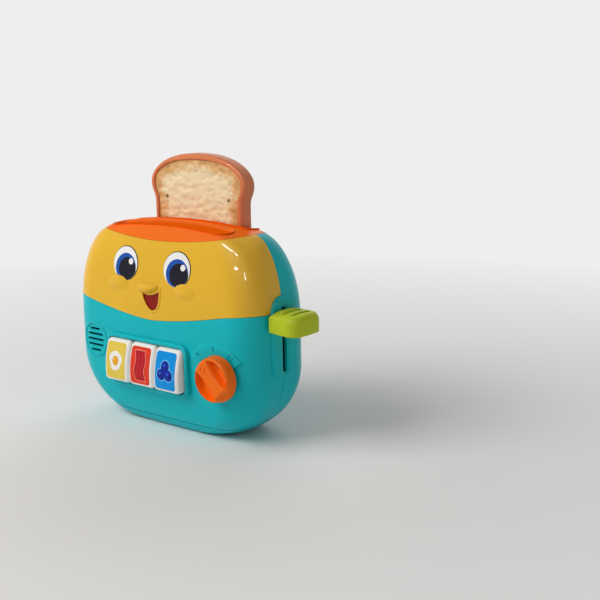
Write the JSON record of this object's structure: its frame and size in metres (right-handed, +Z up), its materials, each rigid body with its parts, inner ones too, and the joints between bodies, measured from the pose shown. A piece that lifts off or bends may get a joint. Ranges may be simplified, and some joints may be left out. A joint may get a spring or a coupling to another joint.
{
  "type": "toy toaster",
  "caption": "Toy pop-up toaster: moulded pillow housing with two slots, a sliding lever that lowers a slice of toast, rocking picture keys and a rotary selector.",
  "frame": {"origin": "centre of the flat underside that the toaster stands on", "axes": "+Z up, the face looks along -Y, and the lever slides on the +X end"},
  "size_m": [0.2306, 0.0915, 0.223],
  "materials": {
    "teal_plastic": "gloss moulded plastic",
    "teal_satin": "satin moulded plastic",
    "yellow_plastic": "high gloss moulded plastic",
    "orange_plastic": "gloss moulded plastic",
    "lime_plastic": "gloss moulded plastic",
    "white_plastic": "gloss moulded plastic",
    "red_plastic": "satin moulded plastic",
    "grey_plastic": "satin moulded plastic",
    "black_plastic": "satin moulded plastic",
    "egg_print": "printed film under gloss",
    "bacon_print": "printed film under gloss",
    "berry_print": "printed film under gloss",
    "toast_crust": "soft touch moulded plastic",
    "toast_crumb": "textured matt plastic",
    "screw_steel": "zinc plated",
    "rod_steel": "drawn wire",
    "contact_brass": "stamped strip",
    "battery": "printed sleeve over steel can",
    "keypad_rubber": "silicone",
    "board": "solder mask over laminate"
  },
  "bodies": {
    "housing": {"front_housing": "teal_plastic", "face_cover": "yellow_plastic", "mouth_insert": "red_plastic", "rear_housing": "teal_plastic", "top_bezel": "orange_plastic", "front_well": "orange_plastic", "rear_well": "orange_plastic", "base_plate": "teal_satin", "battery_door": "teal_satin", "battery_door_screw": "screw_steel", "battery_1": "battery", "battery_2": "battery", "battery_3": "battery", "battery_contact_left": "contact_brass", "battery_contact_right": "contact_brass", "guide_rod_front": "rod_steel", "guide_rod_rear": "rod_steel", "return_spring": "rod_steel", "lever_switch": "black_plastic", "lever_guide_plate": "teal_satin", "key_hinge_rod": "rod_steel", "keypad": "keypad_rubber", "circuit_board": "board", "board_screw_1": "screw_steel", "board_screw_2": "screw_steel", "board_screw_3": "screw_steel", "speaker": "black_plastic", "selector_switch": "black_plastic", "case_screw_1": "screw_steel", "case_screw_2": "screw_steel", "case_screw_3": "screw_steel", "case_screw_4": "screw_steel", "foot_screw_1": "screw_steel", "foot_screw_2": "screw_steel", "foot_screw_3": "screw_steel", "foot_screw_4": "screw_steel"},
    "lift": {"lift_carriage": "grey_plastic", "lever_knob": "lime_plastic"},
    "toast": {"toast_crust": "toast_crust", "toast_crumb": "toast_crumb"},
    "selector": {"selector_knob": "orange_plastic", "selector_shaft": "grey_plastic"},
    "egg_key_body": {"egg_key": "white_plastic", "egg_inlay": "egg_print"},
    "bacon_key_body": {"bacon_key": "white_plastic", "bacon_inlay": "bacon_print"},
    "berry_key_body": {"berry_key": "white_plastic", "berry_inlay": "berry_print"}
  },
  "joints": [
    {"name": "lever_slide", "type": "slide", "parent": "housing", "child": "lift", "axis": [0, 0, 1], "range_m": [-0.038, 0], "stiffness_N_per_m": 60, "springref_m": 0.05, "deforming": ["return_spring"]},
    {"name": "toast_lift", "type": "slide", "parent": "lift", "child": "toast", "axis": [0, 0, 1], "range_m": [0, 0.12]},
    {"name": "selector_turn", "type": "hinge", "parent": "housing", "child": "selector", "pos_m": [0.0705, 0, 0.056], "axis": [0, 1, 0], "range_deg": [0, 90]},
    {"name": "egg_key_press", "type": "hinge", "parent": "housing", "child": "egg_key_body", "pos_m": [-0.0343, -0.0349, 0.0718], "axis": [1, 0, 0], "range_deg": [0, 4.5], "stiffness_Nm_per_rad": 0.12, "springref_deg": -2.86},
    {"name": "bacon_key_press", "type": "hinge", "parent": "housing", "child": "bacon_key_body", "pos_m": [-0.0056, -0.0349, 0.0718], "axis": [1, 0, 0], "range_deg": [0, 4.5], "stiffness_Nm_per_rad": 0.12, "springref_deg": -2.86},
    {"name": "berry_key_press", "type": "hinge", "parent": "housing", "child": "berry_key_body", "pos_m": [0.0231, -0.0349, 0.0718], "axis": [1, 0, 0], "range_deg": [0, 4.5], "stiffness_Nm_per_rad": 0.12, "springref_deg": -2.86}
  ]
}
